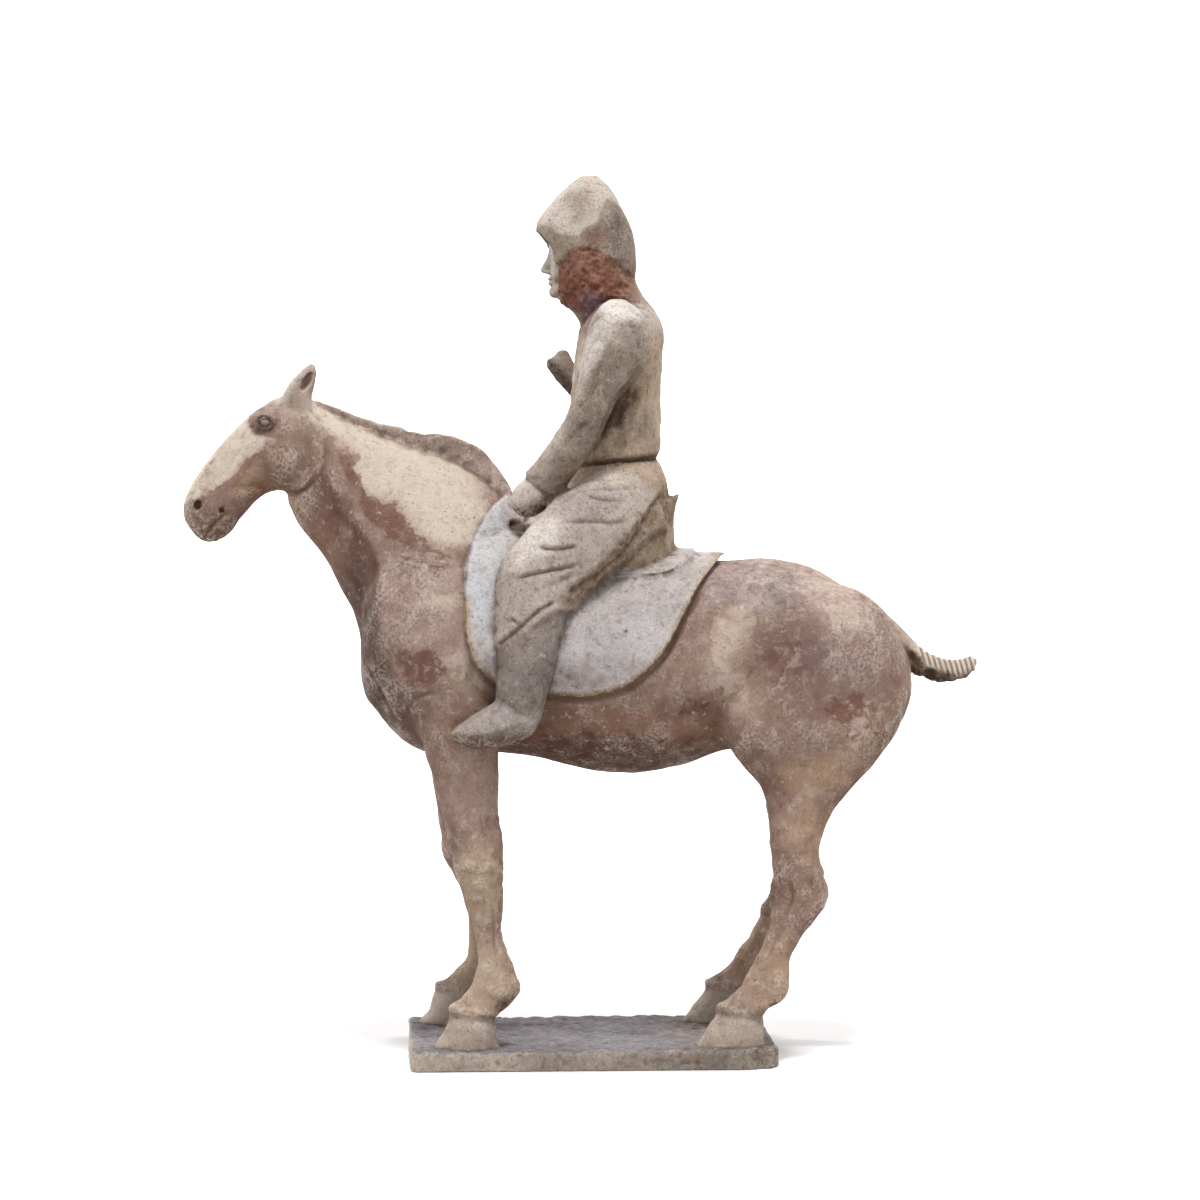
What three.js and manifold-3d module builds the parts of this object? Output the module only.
// Painted earthenware horse with a hooded rider, standing on its slab plinth and fired with it as one piece.
// Millimetres. +X runs to the tail, +Y to the horse's off side, +Z up. The origin is the middle of the underside.
import * as THREE from "three";
import { mergeVertices } from "three/addons/utils/BufferGeometryUtils.js";
import Module from "manifold-3d";

const wasm = await Module();
wasm.setup();

// Driving dimensions
const FIGURE_HEIGHT = 343.5; // from the plinth's top to the tip of the hood
const PLINTH_THICKNESS = 8;
const PLINTH_FRONT_MARGIN = 4.5; // from the toes of the fore hooves to the plinth's front edge
const PLINTH_BACK_MARGIN = 4.5; // from the heels of the hind hooves to its back edge
const PLINTH_SIDE_MARGIN = 5; // from the hooves' outer walls to its long edges
const PLINTH_CORNER_RADIUS = 3.5;
const PLINTH_EDGE_ROUND = 1.2;
const CLOTH_THICKNESS = 3.4; // of the saddle cloth, out from the horse's flank
const SKIRT_THICKNESS = 1.5; // of the saddle's own skirt, out from the cloth

// The figure's free form, in millimetres above the plinth on a figure as high as the hood's first slice.
// Every mass is a run of slices, seen from the near side: [x1, z1, x2, z2, half width, y of the middle].
// The first point is on the mass's front or upper outline and the second on the back or lower one.

const HOOD = [
  [-3.5, 343.5, 4, 343.3, 3],
  [-10, 338.8, 8.5, 338, 9],
  [-16.6, 332, 12, 331.5, 14],
  [-21.2, 325.5, 15.2, 325, 17],
  [-21.6, 318, 17.5, 318, 18.5],
  [-18.8, 310, 18, 310, 18.8],
  [-16.6, 302, 18.2, 302, 17.8],
  [-12, 295, 20, 296, 16.2],
  [-6.5, 289.5, 25, 290.5, 17],
  [-4, 283, 28, 284.5, 22],
  [-4.5, 274, 27, 275, 26],
];

const FACE_OPENING = { x: -20.6, z: 307.5, halfWidth: 10.2, halfHeight: 13.6, depth: 7 };

const grow = FIGURE_HEIGHT / HOOD[0][1];
const cloth = CLOTH_THICKNESS / grow;
const skirt = SKIRT_THICKNESS / grow;
const sink = (0.2 * PLINTH_THICKNESS) / grow; // how far the hooves run down into the slab

const TRUNK = [
  [-92, 158, -92, 144, 18],
  [-90, 169.5, -90, 135, 28],
  [-86, 178, -86, 131, 34],
  [-79.5, 187, -79.5, 123.5, 38.5],
  [-70, 195, -70, 116.5, 41],
  [-57, 203, -57, 113, 42],
  [-40, 206, -40, 112, 41.5],
  [-20, 201, -20, 110, 41],
  [0, 195, 0, 106, 41.5],
  [20, 191, 20, 105.5, 42],
  [38, 190, 38, 108, 41.5],
  [54, 190, 54, 113.5, 41.5],
  [70, 190, 70, 114, 42.5],
  [86, 187, 86, 114, 43.5],
  [100, 181, 100, 115, 42],
  [112, 173.5, 112, 117, 37.5],
  [120.5, 166, 120.5, 121, 31],
  [126, 157, 126, 128.5, 22],
  [128.5, 148, 128.5, 137, 11],
];

const NECK = [
  [-109, 252, -120, 214, 11.5],
  [-96, 246, -115, 204, 14],
  [-82, 240.5, -108, 193.5, 17.5],
  [-68, 234.5, -101.5, 182, 22],
  [-54, 229, -95.5, 171, 27],
  [-42, 221.5, -91.5, 158, 32],
  [-33, 213.5, -86.5, 140, 36],
  [-24, 202, -76, 124, 37],
];

const HEAD = [
  [-112, 252, -108, 228, 10],
  [-118, 256, -112, 221, 11.5],
  [-124.5, 255.5, -118.5, 218, 12.8],
  [-131, 251.5, -125.5, 218, 12.8],
  [-137.5, 247, -131, 216, 11.5],
  [-144, 241, -136, 211, 9.8],
  [-150.5, 233.5, -140, 206.5, 8.6],
  [-156, 226, -143, 201.8, 8.2],
  [-160.5, 218.5, -147, 198.8, 8.3],
  [-162.5, 212, -152, 197.3, 7.8],
  [-162, 206, -157, 199, 5],
];

const MANE = [
  [-112, 256, -110.5, 250, 1.8],
  [-102.5, 251.5, -102, 244, 2.1],
  [-88.5, 246.5, -89, 237, 2.3],
  [-74, 243, -75, 231, 2.5],
  [-63.5, 240, -66, 226, 2.7],
  [-56, 239, -60, 222, 2.8],
  [-48, 236, -53, 218, 2.8],
  [-41, 231, -47, 214, 2.7],
  [-35, 224, -41, 210, 2.5],
  [-31, 216, -36, 205, 2.2],
];

const EAR = [
  [-123.5, 253, -112.5, 252, 2.6, -6.5],
  [-121.5, 258, -111.8, 257, 3, -7.4],
  [-118.6, 262.2, -110.6, 261.2, 2.7, -8.6],
  [-114.6, 265.8, -110.2, 264.6, 1.9, -9.4],
  [-111.4, 267.8, -110.4, 267.2, 0.7, -9.8],
];

const TAIL = [
  [112, 174, 116, 148, 6.5],
  [125, 163.5, 127, 144.5, 5.5],
  [131, 155.8, 130.5, 143.5, 4.8],
  [136.5, 151.8, 136, 141.8, 4.4],
  [143, 149.2, 141.5, 139.5, 4.2],
  [148.5, 149, 148, 140.8, 3.8],
  [153, 150.6, 153.5, 143, 2.8],
  [155.8, 149, 155.8, 146.5, 1],
];

const FORE_LEG = [
  [-82, 160, -35, 160, 14, -25],
  [-73.5, 137, -35, 137, 14.5, -27],
  [-67, 116, -37, 116, 12.5, -30],
  [-63.3, 103, -38, 103, 10.5, -31],
  [-60, 91, -38, 91, 9.3, -32],
  [-57.8, 81, -37.8, 81, 8.8, -33],
  [-55.8, 74.5, -37.3, 74.5, 8.8, -33],
  [-53.6, 66.5, -36.8, 66, 7.8, -33],
  [-50, 57.5, -36.6, 57, 6.6, -34],
  [-47.5, 48, -36.3, 48, 5.8, -34],
  [-46.5, 38.5, -35, 38.5, 5.6, -34],
  [-47, 30, -31.5, 30.5, 6.2, -35],
  [-49.5, 23.5, -29.5, 22.5, 6.8, -35],
  [-53.5, 18, -34.5, 16.5, 7.2, -35],
  [-56.8, 14.6, -38.6, 13, 8.6, -35],
  [-55.6, 12.4, -38.9, 11, 8.3, -35],
  [-59.5, 5, -38.8, 4.6, 9.2, -35],
  [-63, 0, -38.2, 0, 10, -35],
  [-63, -sink, -38.2, -sink, 10, -35],
];

const HIND_LEG = [
  [40, 165, 121, 160, 17, -24],
  [44, 140, 122.5, 140, 18, -25],
  [50.5, 123, 117.5, 122, 16.5, -27],
  [58, 111.5, 109.2, 110, 14.5, -28],
  [66.5, 102, 101, 101, 12, -29],
  [69.5, 92, 94.2, 91, 10, -30],
  [70.5, 79.5, 90.8, 78.5, 8.8, -31],
  [71.5, 66.5, 91.5, 67, 8.2, -32],
  [71.5, 59, 93.8, 60.5, 7.8, -32],
  [70, 50.5, 88.5, 52.5, 6.8, -33],
  [67, 41, 82.5, 43, 6, -34],
  [63.5, 32.5, 78.2, 33.5, 6, -34],
  [59, 25.5, 77.5, 24.5, 6.8, -35],
  [54, 19.5, 74.5, 17.5, 7, -35],
  [49, 14.8, 66.4, 13.4, 8.7, -35],
  [48.6, 12.4, 66.2, 11.4, 8.4, -35],
  [44, 5.5, 66.3, 5, 9.2, -35],
  [40.8, 0, 66.8, 0, 10, -35],
  [40.8, -sink, 66.8, -sink, 10, -35],
];

// How far the off legs stand ahead of the near ones, as [height, lead] from the hoof up
const OFF_FORE_LEAD = [[0, 5.5], [14, 4.5], [26, 1.5], [60, 2]];
const OFF_HIND_LEAD = [[0, -0.5], [34, -4], [60, -6], [140, -4]];

const FACE = [
  [-11.5, 294, 4, 294, 2.5],
  [-15, 295.6, 4, 295.6, 4.8],
  [-16.2, 297.8, 4, 297.8, 6.3],
  [-15.7, 300, 4, 300, 7.4],
  [-16.3, 302.5, 4, 302.5, 8.3],
  [-16.3, 308, 4, 308, 9.4],
  [-15.8, 312, 4, 312, 9.8],
  [-16.7, 315, 4, 315, 9.9],
  [-16.3, 318.5, 4, 318.5, 9.6],
  [-14.5, 322, 4, 322, 8.5],
];

const NOSE = [
  [-16.4, 314.8, -13, 314.4, 1.2],
  [-17.6, 311, -13, 311, 1.5],
  [-19.2, 308, -13, 308, 2.2],
  [-20.1, 306.2, -13, 306, 2.9],
  [-19.2, 305, -13, 304.6, 3],
  [-16.5, 304.4, -13, 304.2, 2.2],
];

const TORSO = [
  [0, 289.5, 22, 292.5, 17],
  [-3.5, 285.5, 27, 287.5, 26],
  [-5, 279, 29.2, 280.5, 30],
  [-6, 270, 28.5, 270, 31],
  [-7.5, 258, 28, 258, 29],
  [-8, 244, 28, 244, 27.5],
  [-7.5, 232.5, 27.5, 233.5, 26.5],
  [-6, 230.5, 25.5, 231.5, 25],
  [-8, 228, 27.5, 229, 26.5],
  [-11, 221, 30, 223, 29],
  [-15, 211, 31.5, 213, 31],
  [-19, 200, 32.5, 202, 32],
  [-20, 188.5, 32, 189.5, 30],
];

const NEAR_ARM = [
  [8.5, 294.3, 13.5, 293.8, 2.2, -20],
  [4, 292.3, 17.5, 290, 6, -24],
  [-1, 285.5, 22.5, 280.5, 9.2, -28],
  [-4.5, 273.5, 22, 266.5, 10.4, -32],
  [-7.5, 259.5, 15.5, 253, 10, -34],
  [-12.3, 248.5, 6.5, 240.5, 9.3, -34],
  [-18.2, 238.2, -1, 230, 8.4, -32],
  [-23.4, 231, -8.5, 221.5, 7.6, -28],
  [-27.5, 225.4, -15, 214.5, 7, -25],
];

const OFF_UPPER_ARM = [
  [8.5, 294.3, 13.5, 293.8, 2.2, 20],
  [4, 292.3, 17.5, 290, 6, 24],
  [-1, 285.5, 22.5, 280.5, 9.2, 28],
  [-3, 272, 21.5, 268.5, 10, 32.5],
  [-2.5, 259, 18.5, 256.5, 9.4, 35],
  [-1.5, 250, 13, 246, 8.2, 36],
  [1, 245, 9, 242.5, 5.5, 36],
];

const OFF_FOREARM = [
  [11, 254, 2.5, 246, 6.6, 36],
  [5.5, 258, -2.5, 250.5, 7.6, 33],
  [-1, 264, -8, 257.5, 6.6, 26.5],
  [-5.5, 269.5, -12.5, 263.8, 5.6, 21.5],
  [-8.2, 275.6, -16.4, 270.6, 4.8, 18.5],
];

const FIST = [
  [-23, 226, -13, 216, 5.2, -26],
  [-27.5, 223, -17, 212.6, 6, -25],
  [-31.2, 219.6, -20.6, 209.6, 6.2, -24],
  [-33, 215.4, -24.4, 207.6, 5.4, -23.4],
  [-32.6, 211.4, -28.6, 207.8, 3, -23],
];

// The robe's skirt over the thigh and the knee, down to its slanting hem on the shin
const THIGH = [
  [20, 226, 28, 213, 8, -13],
  [13, 229, 26, 204.5, 14.5, -17],
  [2.5, 225.5, 19, 194.5, 17, -23],
  [-13, 217, 7.5, 186, 15, -31],
  [-26.5, 203.5, -2.5, 177.5, 13.8, -36],
  [-35, 193, -8, 171.5, 13, -39],
  [-38.6, 183, -9.5, 171, 13, -41],
  [-39.6, 170, -10.5, 173, 13, -42],
  [-40, 157, -12.5, 174.5, 13, -42.5],
];

const SHIN = [
  [-36, 180, -10, 180, 9, -41],
  [-38, 172, -11.5, 170, 11, -42],
  [-38.5, 159, -14.5, 157.5, 11.2, -43],
  [-38.8, 146.5, -17.5, 144.5, 10.3, -43],
  [-39.2, 137.5, -20, 134, 9.2, -43],
  [-36, 129, -23, 126.5, 7, -43],
];

const BOOT = [
  [-21.5, 134.5, -23.5, 126, 6, -43],
  [-27, 138, -25.5, 122.8, 8.2, -43],
  [-34, 138.5, -31, 120.4, 9.2, -43],
  [-41, 135.5, -37.5, 118.8, 9, -43.5],
  [-47.5, 131.3, -44.5, 118.4, 8.2, -44],
  [-53.3, 127.3, -51, 119.6, 6, -44.5],
  [-57.2, 124.2, -56.8, 121.8, 2.4, -45],
];

// The saddle's side, running forward from the cantle under the thigh
const WING = [
  [25, 217, 32, 199, 9, -15.5],
  [17, 209, 28, 195, 12, -16.5],
  [9, 199.5, 20, 188.5, 12, -18.5],
  [1, 190.5, 10, 187, 10, -22.5],
  [-7, 184.5, 0, 183, 6, -27],
];

// Outlines seen from the near side, as [x, z] points that a smooth curve passes through
const CLOTH_OUTLINE = [
  [-33, 218], [-44, 206], [-49.5, 190], [-51, 170], [-48, 153.5], [-37, 144],
  [-12, 138], [10, 141.5], [25, 154.5], [34, 174], [41, 187], [52, 193], [54, 200],
];
const SKIRT_OUTLINE = [
  [-30, 214], [-34, 198], [-24, 184], [2, 179.5], [24, 183], [35, 187], [42, 194], [44, 202],
];

// The wings of the breast and buttocks and the cheeks, as ellipsoids on both sides
const SWELLINGS = [
  { x: -66, y: 24, z: 166, rx: 26, ry: 20, rz: 31, across: 16, down: 9 },
  { x: 94.5, y: 22, z: 150, rx: 32, ry: 23, rz: 33, across: 16, down: 9 },
  { x: -121, y: 3.5, z: 231.5, rx: 12.6, ry: 11, rz: 13.6, across: 12, down: 8 },
  { x: -130, y: 10.6, z: 245.5, rx: 2.6, ry: 2.6, rz: 2.3, across: 8, down: 5 },
];

// The rider's eyes and, in the middle, both lips
const FEATURES = [
  { x: -14.4, y: 4.4, z: 311.6, rx: 1.9, ry: 2.5, rz: 1.4, across: 8, down: 5 },
  { x: -16.2, y: 1.2, z: 302.6, rx: 1.6, ry: 2.4, rz: 1, across: 8, down: 5 },
  { x: -16, y: 1, z: 300.9, rx: 1.6, ry: 2.1, rz: 1.1, across: 8, down: 5 },
];

const CANTLE = { x: 5.4, radius: 29.5, wall: 5, sweep: 1.3, foot: 182, top: 216, fall: 0.5 };
const POMMEL = { x: -26, radius: 12, wall: 4.5, sweep: 1.2, foot: 190, top: 210, fall: 0.5 };

// Solids from geometries
function solidOf(geometry) {
  const bare = geometry.index ? geometry.toNonIndexed() : geometry.clone();
  bare.deleteAttribute("normal");
  bare.deleteAttribute("uv");
  const merged = mergeVertices(bare, 1e-4);
  const make = (triangles) =>
    new wasm.Manifold(
      new wasm.Mesh({
        numProp: 3,
        vertProperties: new Float32Array(merged.attributes.position.array),
        triVerts: new Uint32Array(triangles),
      }),
    );
  const triangles = Array.from(merged.index.array);
  const made = make(triangles);
  return made.volume() > 0 ? made : make(triangles.reverse());
}

function geometryOf(solid) {
  const mesh = solid.getMesh();
  const points = [];
  for (let i = 0; i < mesh.numVert; i++) {
    points.push(...mesh.vertProperties.subarray(i * mesh.numProp, i * mesh.numProp + 3));
  }
  const geometry = new THREE.BufferGeometry();
  geometry.setAttribute("position", new THREE.Float32BufferAttribute(points, 3));
  geometry.setIndex(Array.from(mesh.triVerts));
  return geometry;
}

const joined = (solids) => solids.reduce((all, solid) => all.add(solid));

// The lead at a height, between the entries of one of the two tables above
function leadAt(lead, z) {
  const after = lead.findIndex(([height]) => height > z);
  if (after < 1) return lead.at(after)[1];
  const [[z0, from], [z1, to]] = [lead[after - 1], lead[after]];
  return from + ((z - z0) / (z1 - z0)) * (to - from);
}

// A closed skin over a run of slices. Lean above 0 thins each slice towards its first point.
function skin(rows, { sides = 16, lean = 0, side = 1, lead = [[0, 0]], swell = 0 } = {}) {
  const points = [];
  const faces = [];
  rows.forEach(([x1, z1, x2, z2, halfWidth, y = 0]) => {
    const z = (z1 + z2) / 2;
    const middle = new THREE.Vector3((x1 + x2) / 2 - leadAt(lead, z), y * side, z);
    const up = new THREE.Vector3((x1 - x2) / 2, 0, (z1 - z2) / 2);
    up.setLength(up.length() + swell);
    for (let i = 0; i < sides; i++) {
      const turn = (i / sides) * 2 * Math.PI;
      const out = (halfWidth + swell) * Math.sin(turn) * (1 - lean * Math.cos(turn));
      const point = middle.clone().addScaledVector(up, Math.cos(turn));
      points.push(point.x, point.y + out, point.z);
    }
  });
  for (let row = 0; row + 1 < rows.length; row++) {
    for (let i = 0; i < sides; i++) {
      const a = row * sides + i;
      const b = row * sides + ((i + 1) % sides);
      faces.push(a, b, b + sides, a, b + sides, a + sides);
    }
  }
  const last = (rows.length - 1) * sides;
  for (let i = 1; i + 1 < sides; i++) {
    faces.push(0, i + 1, i, last, last + i, last + i + 1);
  }
  const geometry = new THREE.BufferGeometry();
  geometry.setAttribute("position", new THREE.Float32BufferAttribute(points, 3));
  geometry.setIndex(faces);
  return solidOf(geometry);
}

const bothSides = (make) => [make(1), make(-1)];

function ellipsoids({ x, y, z, rx, ry, rz, across, down }) {
  return bothSides((side) => {
    const ball = new THREE.SphereGeometry(1, across, down);
    return solidOf(ball.scale(rx, ry, rz).translate(x, y * side, z));
  });
}

// An outline in the side view, driven right through the figure from side to side
function sidePrism(outline, steps, reach) {
  const curve = new THREE.CatmullRomCurve3(outline.map(([x, z]) => new THREE.Vector3(x, z, 0)));
  const shape = new THREE.Shape(curve.getPoints(steps).map((point) => new THREE.Vector2(point.x, point.y)));
  const prism = new THREE.ExtrudeGeometry(shape, { depth: 2 * reach, bevelEnabled: false });
  return solidOf(prism.translate(0, 0, -reach).rotateX(Math.PI / 2));
}

// A curved board standing across the horse's back, its top falling away from the middle
function saddleBoard({ x, radius, wall, sweep, foot, top, fall }, facing) {
  const shape = new THREE.Shape();
  shape.absarc(0, 0, radius, -sweep, sweep, false);
  shape.absarc(0, 0, radius - wall, sweep, -sweep, true);
  const board = new THREE.ExtrudeGeometry(shape, { depth: top - foot, bevelEnabled: false, curveSegments: 5 });
  board.translate(0, 0, foot);
  const lid = new THREE.BoxGeometry(4 * radius, 4 * radius, 2 * radius);
  lid.translate(0, 0, radius);
  lid.rotateY(-Math.atan(fall));
  lid.translate(radius, 0, top);
  const turned = facing < 0 ? Math.PI : 0;
  return solidOf(board.rotateZ(turned).translate(x, 0, 0)).subtract(
    solidOf(lid.rotateZ(turned).translate(x, 0, 0)),
  );
}

function horse() {
  const legs = [
    skin(FORE_LEG, { sides: 12 }),
    skin(HIND_LEG, { sides: 12 }),
    skin(FORE_LEG, { sides: 12, side: -1, lead: OFF_FORE_LEAD }),
    skin(HIND_LEG, { sides: 12, side: -1, lead: OFF_HIND_LEAD }),
  ];
  return joined([
    skin(TRUNK, { sides: 20 }),
    skin(NECK, { sides: 16, lean: 0.22 }),
    skin(HEAD, { sides: 14 }),
    skin(MANE, { sides: 8 }),
    skin(TAIL, { sides: 10 }),
    ...bothSides((side) => skin(EAR, { sides: 8, side })),
    ...SWELLINGS.flatMap(ellipsoids),
    ...legs,
  ]);
}

function saddle() {
  const reach = 60;
  const clothCut = sidePrism(CLOTH_OUTLINE, 34, reach);
  const skirtCut = sidePrism(SKIRT_OUTLINE, 22, reach);
  const clothShell = skin(TRUNK, { sides: 20, swell: cloth });
  const skirtShell = skin(TRUNK, { sides: 20, swell: cloth + skirt });
  return joined([
    clothShell.intersect(clothCut),
    skirtShell.intersect(skirtCut),
    saddleBoard(CANTLE, 1),
    saddleBoard(POMMEL, -1),
    ...bothSides((side) => skin(WING, { sides: 6, side })),
  ]);
}

function head() {
  const opening = new THREE.CylinderGeometry(1, 1, 2 * FACE_OPENING.depth, 24);
  opening.rotateZ(Math.PI / 2);
  opening.scale(1, FACE_OPENING.halfWidth, FACE_OPENING.halfHeight);
  opening.translate(FACE_OPENING.x, 0, FACE_OPENING.z);
  return joined([
    skin(HOOD, { sides: 18 }).subtract(solidOf(opening)),
    skin(FACE, { sides: 14 }),
    skin(NOSE, { sides: 8 }),
    ...FEATURES.flatMap(ellipsoids),
  ]);
}

function rider() {
  return joined([
    skin(TORSO, { sides: 16 }),
    head(),
    skin(NEAR_ARM, { sides: 10 }),
    skin(FIST, { sides: 8 }),
    skin(OFF_UPPER_ARM, { sides: 10 }),
    skin(OFF_FOREARM, { sides: 10 }),
    ...bothSides((side) => skin(THIGH, { sides: 12, side })),
    ...bothSides((side) => skin(SHIN, { sides: 10, side })),
    ...bothSides((side) => skin(BOOT, { sides: 8, side })),
  ]);
}

// The slab reaches a margin past the hooves on every side
function plinth() {
  const foreToe = FORE_LEG.at(-1)[0] - OFF_FORE_LEAD[0][1];
  const hindHeel = HIND_LEG.at(-1)[2];
  const hoof = FORE_LEG.at(-1);
  const front = foreToe * grow - PLINTH_FRONT_MARGIN;
  const back = hindHeel * grow + PLINTH_BACK_MARGIN;
  const side = (hoof[4] - hoof[5]) * grow + PLINTH_SIDE_MARGIN;
  const round = Math.min(PLINTH_EDGE_ROUND, PLINTH_THICKNESS / 3);
  const corner = Math.max(PLINTH_CORNER_RADIUS - round, 0.5);
  const slab = new THREE.Shape();
  const [x0, x1, y1] = [front + round, back - round, side - round];
  slab.absarc(x1 - corner, y1 - corner, corner, 0, Math.PI / 2);
  slab.absarc(x0 + corner, y1 - corner, corner, Math.PI / 2, Math.PI);
  slab.absarc(x0 + corner, corner - y1, corner, Math.PI, 1.5 * Math.PI);
  slab.absarc(x1 - corner, corner - y1, corner, 1.5 * Math.PI, 2 * Math.PI);
  const body = new THREE.ExtrudeGeometry(slab, {
    depth: PLINTH_THICKNESS - 2 * round,
    bevelThickness: round,
    bevelSize: round,
    bevelSegments: 2,
    curveSegments: 2,
  });
  body.translate(-(front + back) / 2, 0, round);
  return { solid: solidOf(body), middle: (front + back) / 2 };
}

const base = plinth();
const figure = geometryOf(joined([horse(), saddle(), rider()]));
figure.scale(grow, grow, grow);
figure.translate(-base.middle, 0, PLINTH_THICKNESS);

const clay = new THREE.MeshStandardMaterial({ color: 0xa08a7c, roughness: 0.95, metalness: 0 });
const figureMesh = new THREE.Mesh(geometryOf(base.solid.add(solidOf(figure))), clay);
figureMesh.name = "horse_and_rider";

const statue = new THREE.Group();
statue.add(figureMesh);

export default statue;
